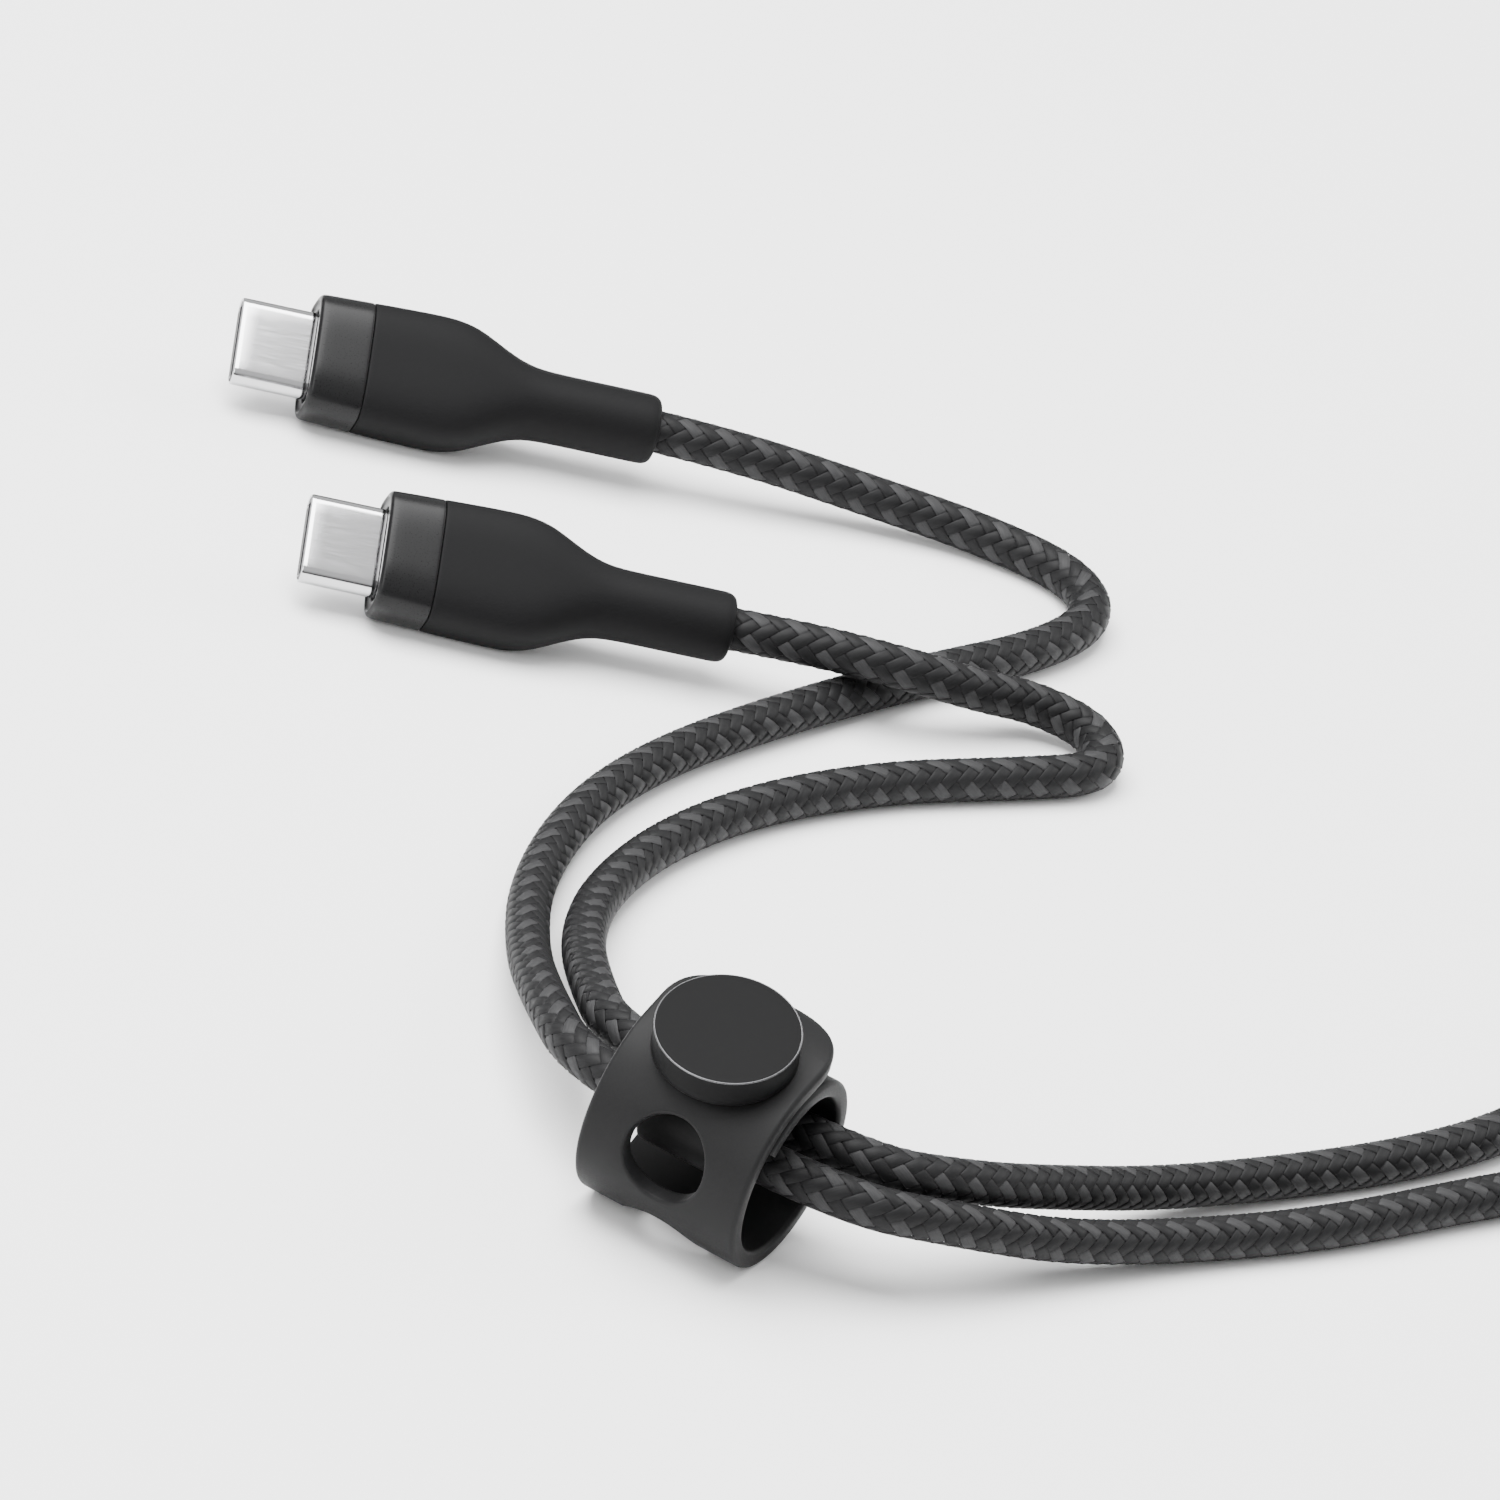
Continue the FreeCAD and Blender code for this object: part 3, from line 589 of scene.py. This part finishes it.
def loop_point(x, distance, angle, shift=0.0):
    """A point at a distance and an angle round the loop's axis; shift moves the axis to the spiral's."""
    y = STRAP_CENTRE[1] + distance * math.cos(math.radians(angle)) \
        + shift * math.cos(math.radians(SPIRAL_ANGLE))
    z = STRAP_CENTRE[2] + distance * math.sin(math.radians(angle)) \
        + shift * math.sin(math.radians(SPIRAL_ANGLE))
    return Vector((STRAP_CENTRE[0] + x, y, z))


def rolled(flat):
    """Where a point of the flat band (along, across, outward) lies once the band is rolled up."""
    along, across, outward = flat
    if along >= spiral_at:
        angle = SPIRAL_ANGLE + math.degrees((along - spiral_at) / INNER_LOOP_RADIUS)
        return loop_point(across, INNER_LOOP_RADIUS + outward, angle, LOOP_RADIUS - INNER_LOOP_RADIUS)
    if along >= TAB_REACH:
        angle = BUTTON_ANGLE + math.degrees((along - TAB_REACH) / LOOP_RADIUS)
        return loop_point(across, LOOP_RADIUS + outward, angle)
    behind = TAB_REACH - along
    lift = LOOP_RADIUS + outward
    if behind > TAB_FLAT:
        turned = (behind - TAB_FLAT) / TAB_BEND_RADIUS
        radius = TAB_BEND_RADIUS + outward
        lift = LOOP_RADIUS - TAB_BEND_RADIUS + radius * math.cos(turned)
        behind = TAB_FLAT + radius * math.sin(turned)
    rearward = loop_point(0, 1, BUTTON_ANGLE - 90) - loop_point(0, 0, 0)
    return loop_point(across, lift, BUTTON_ANGLE) + rearward * behind


def spun(profile, sides=48):
    """A closed body of revolution: an open or closed line of (radius, height), spun round Z."""
    bm = bmesh.new()
    line = [bm.verts.new((radius, 0, height)) for radius, height in profile]
    edges = [bm.edges.new(pair) for pair in zip(line, line[1:])]
    bmesh.ops.spin(bm, geom=line + edges, axis=(0, 0, 1), cent=(0, 0, 0), angle=math.tau,
                   steps=sides, use_merge=True)
    bmesh.ops.remove_doubles(bm, verts=bm.verts, dist=0.0005)
    bmesh.ops.recalc_face_normals(bm, faces=bm.faces)
    return bm


def punched(bm, along, radius):
    """Cuts a round hole with softly rounded lips through the flat band."""
    half = BAND_THICKNESS / 2
    lip = 0.3
    wide = radius + 1.6 * lip
    profile = [(0, -half - 0.6), (wide, -half - 0.6), (wide, -half - 0.02)]
    for turn in range(0, 91, 15):
        swing = math.radians(turn)
        profile.append((radius + lip * (1 - math.sin(swing)), -half + lip * (1 - math.cos(swing))))
    profile += [(part, -height) for part, height in reversed(profile[:])]
    cutter_bm = spun(profile, sides=56)
    bmesh.ops.translate(cutter_bm, vec=(along, 0, 0), verts=cutter_bm.verts)
    meshes = []
    for part in (bm, cutter_bm):
        mesh = bpy.data.meshes.new("blank")
        part.to_mesh(mesh)
        part.free()
        meshes.append(mesh)
    blank, cutter = [bpy.data.objects.new("blank", mesh) for mesh in meshes]
    for part in (blank, cutter):
        bpy.context.scene.collection.objects.link(part)
    cut = blank.modifiers.new("hole", "BOOLEAN")
    cut.object = cutter
    cut.operation = "DIFFERENCE"
    cut.solver = "EXACT"
    bpy.context.view_layer.update()
    holed = bpy.data.meshes.new_from_object(
        blank.evaluated_get(bpy.context.evaluated_depsgraph_get()))
    bm = bmesh.new()
    bm.from_mesh(holed)
    for part in (blank, cutter):
        bpy.data.objects.remove(part)
    for mesh in meshes + [holed]:
        bpy.data.meshes.remove(mesh)
    return bm


bm = bmesh.new()
bmesh.ops.create_cube(bm, size=1)
bmesh.ops.scale(bm, vec=(band_length, STRAP_WIDTH, BAND_THICKNESS), verts=bm.verts)
bmesh.ops.translate(bm, vec=(band_length / 2, 0, 0), verts=bm.verts)
corners = [edge for edge in bm.edges if all(vertex.co.x < 0.1 for vertex in edge.verts)
           and abs(edge.verts[0].co.z - edge.verts[1].co.z) > 1]
bmesh.ops.bevel(bm, geom=corners, offset=TAB_CORNER, segments=16, profile=0.5, affect="EDGES", material=-1)
rims = [edge for edge in bm.edges if abs(edge.verts[0].co.z - edge.verts[1].co.z) < 0.01]
bmesh.ops.bevel(bm, geom=rims, offset=RIM_ROUND, segments=4, profile=0.5, affect="EDGES", material=-1)
for angle in EYELET_ANGLES:
    bm = punched(bm, band_place_of(angle), EYELET_RADIUS)
bm = punched(bm, band_place_of(BUTTON_ANGLE + 360), SNAP_HOLE_RADIUS)
bm = punched(bm, TAB_REACH, STUD_RADIUS)
# Even cuts across the band let it roll smoothly; close ones keep the split between its halves crisp
split_at = band_place_of(SPLIT_ANGLE)
cuts = [(place * 0.5, 0) for place in range(1, int(band_length * 2))]
cuts += [(split_at + near, 0) for near in (-0.3, -0.1, 0.1, 0.3)]
cuts += [(place, 1) for place in (-7.43, -5.2, -2.6, 0, 2.6, 5.2, 7.43)]
for place, axis in cuts:
    normal = (1, 0, 0) if axis == 0 else (0, 1, 0)
    spot = (place, 0, 0) if axis == 0 else (0, place, 0)
    bmesh.ops.bisect_plane(bm, geom=bm.verts[:] + bm.edges[:] + bm.faces[:], plane_co=spot,
                           plane_no=normal, dist=0.0001)
whole_band = bpy.data.meshes.new("whole_band")
bm.to_mesh(whole_band)
bm.free()
silicone = grain(new_finish("strap_silicone", (0.0085, 0.0085, 0.0088), 0.5, specular=0.1),
                 0.16, 0.12, 0.06, 0.003)
in_metres = Matrix.Scale(MM, 4)
for name, keeps_front in (("strap_front_and_tab", True), ("strap_floor_side_and_inner_end", False)):
    bm = bmesh.new()
    bm.from_mesh(whole_band)
    bmesh.ops.bisect_plane(bm, geom=bm.verts[:] + bm.edges[:] + bm.faces[:], plane_co=(split_at, 0, 0),
                           plane_no=(1, 0, 0), clear_outer=keeps_front, clear_inner=not keeps_front)
    open_edges = [edge for edge in bm.edges if edge.is_boundary]
    closing = bmesh.ops.holes_fill(bm, edges=open_edges, sides=0)["faces"]
    for face in closing:
        for edge in face.edges:
            edge.smooth = False
    for vertex in bm.verts:
        vertex.co = rolled(vertex.co)
    bmesh.ops.remove_doubles(bm, verts=bm.verts, dist=0.0005)
    bmesh.ops.recalc_face_normals(bm, faces=bm.faces)
    band_piece = finished_piece(name, bm, in_metres, silicone, None if keeps_front else "strap")
    if keeps_front:
        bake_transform(band_piece)
        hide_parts("strap_tab")
    else:
        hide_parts("strap_band")
bpy.data.meshes.remove(whole_band)

# The keeper tube: moulded on the band's inner end, and a loose sliding fit on the front strand,
# with a bore that opens towards both mouths so that the curving strand runs freely through it
keeper_y, keeper_z, keeper_half = STRAP_CENTRE[1] - 1.0, STRAP_CENTRE[2] - 0.15, 5.2
outer_wall, mouth_wall, middle_wall, lip = 3.0, 2.6, 2.16, 0.3
keeper_line = [(mouth_wall, -keeper_half + lip)]
for turn in range(0, 181, 20):
    swing = math.radians(turn)
    keeper_line.append(((outer_wall + mouth_wall) / 2 - (outer_wall - mouth_wall) / 2 * math.cos(swing),
                        -keeper_half + lip - lip * math.sin(swing)))
keeper_line += [(outer_wall, keeper_half - lip)]
keeper_line += [(radius, -height) for radius, height in reversed(keeper_line[1:-1])]
bore = [(2.38, 3.2), (middle_wall + 0.04, 1.4), (middle_wall, 0)]
keeper_line += bore + [(radius, -height) for radius, height in reversed(bore[:2])]
keeper_line.append(keeper_line[0])
bm = spun(keeper_line, sides=48)
lie_along_x = Matrix.Rotation(math.radians(90), 4, "Y")
keeper_middle = Vector((STRAP_CENTRE[0], keeper_y, keeper_z))
bmesh.ops.transform(bm, matrix=Matrix.Translation(keeper_middle) @ lie_along_x, verts=bm.verts)
tube = set(bm.verts)
web_top = loop_point(0, INNER_LOOP_RADIUS - 0.3, INNER_END_ANGLE - 366, LOOP_RADIUS - INNER_LOOP_RADIUS)
web_low = keeper_middle + (web_top - keeper_middle).normalized() * 2.6
web = bmesh.ops.create_cube(bm, size=1)["verts"]
bmesh.ops.scale(bm, vec=(2 * keeper_half - 0.3, 1.3, (web_top - web_low).length), verts=web)
bmesh.ops.bevel(bm, geom=[edge for edge in bm.edges if all(vertex in web for vertex in edge.verts)],
                offset=0.25, segments=3, profile=0.5, affect="EDGES", material=-1)
web = [vertex for vertex in bm.verts if vertex not in tube]
lean = (web_top - web_low).to_track_quat("Z", "Y").to_matrix().to_4x4()
bmesh.ops.transform(bm, matrix=Matrix.Translation((web_top + web_low) / 2) @ lean, verts=web)
bmesh.ops.recalc_face_normals(bm, faces=bm.faces)
keeper = finished_piece("keeper_tube_moulded", bm, in_metres, silicone, "strap")
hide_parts("strap_keeper")

# ---------------------------------------------------------------- the button
# A turned aluminium disc, anodised black with a satin top and one bright diamond-cut edge. A stud
# under it is pressed through the tab and snaps into the hole in the inner end of the band.
BUTTON_RADIUS = 6.25
BUTTON_THICKNESS = 2.8
TRIM_WIDTH = 0.1
up_the_button = loop_point(0, 1, BUTTON_ANGLE) - loop_point(0, 0, 0)
button_seat = loop_point(0, LOOP_RADIUS + BAND_THICKNESS / 2, BUTTON_ANGLE)
button_place = (in_metres @ Matrix.Translation(button_seat)
                @ up_the_button.to_track_quat("Z", "Y").to_matrix().to_4x4())
top = BUTTON_THICKNESS
cap_line = [(0, 0.0), (BUTTON_RADIUS - 0.25, 0.0), (BUTTON_RADIUS - 0.08, 0.06), (BUTTON_RADIUS, 0.2),
            (BUTTON_RADIUS, 0.8), (BUTTON_RADIUS, 1.6), (BUTTON_RADIUS, top - TRIM_WIDTH - 0.02)]
face_line = [(BUTTON_RADIUS - TRIM_WIDTH, top - 0.005), (BUTTON_RADIUS - TRIM_WIDTH - 0.05, top),
             (BUTTON_RADIUS - 0.8, top), (4.0, top), (2.0, top), (0, top)]
trim_line = [(BUTTON_RADIUS, top - TRIM_WIDTH - 0.02), (BUTTON_RADIUS, top - TRIM_WIDTH + 0.02),
             (BUTTON_RADIUS - 0.03, top - TRIM_WIDTH + 0.06), (BUTTON_RADIUS - TRIM_WIDTH + 0.04, top - 0.02),
             (BUTTON_RADIUS - TRIM_WIDTH, top - 0.005)]
black_anodised = grain(new_finish("black_anodised", (0.004, 0.004, 0.0042), 0.5, specular=0.05),
                       0.1, 0.08, 0.05, 0.0015)
bright_cut = grain(new_finish("bright_cut_edge", (0.09, 0.09, 0.093), 0.3, metallic=1.0),
                   0.2, 0.05, 0.06, 0.0004)
bm = spun(cap_line + trim_line[1:-1] + face_line, sides=96)
cap = finished_piece("button_cap_turned", bm, button_place, black_anodised, "tab")
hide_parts("button_cap")
proud = 0.012
trim_ring = [(radius + proud, height + proud) for radius, height in trim_line]
trim_ring += [(radius - 0.06, height - 0.06) for radius, height in reversed(trim_line)]
trim_ring.append(trim_ring[0])
bm = spun(trim_ring, sides=96)
trim = finished_piece("button_trim_cut", bm, button_place, bright_cut, "tab")
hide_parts("button_trim")
stud_top = -BAND_THICKNESS - 1.85
stud_line = [(0, stud_top), (1.0, stud_top), (1.3, stud_top + 0.08), (1.46, stud_top + 0.28),
             (STUD_RADIUS, stud_top + 0.5), (STUD_RADIUS, -0.9), (STUD_RADIUS, 0.05), (0, 0.05)]
bm = spun(stud_line, sides=40)
stud = finished_piece("button_stud_turned", bm, button_place, black_anodised, "tab")
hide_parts("button_stud")
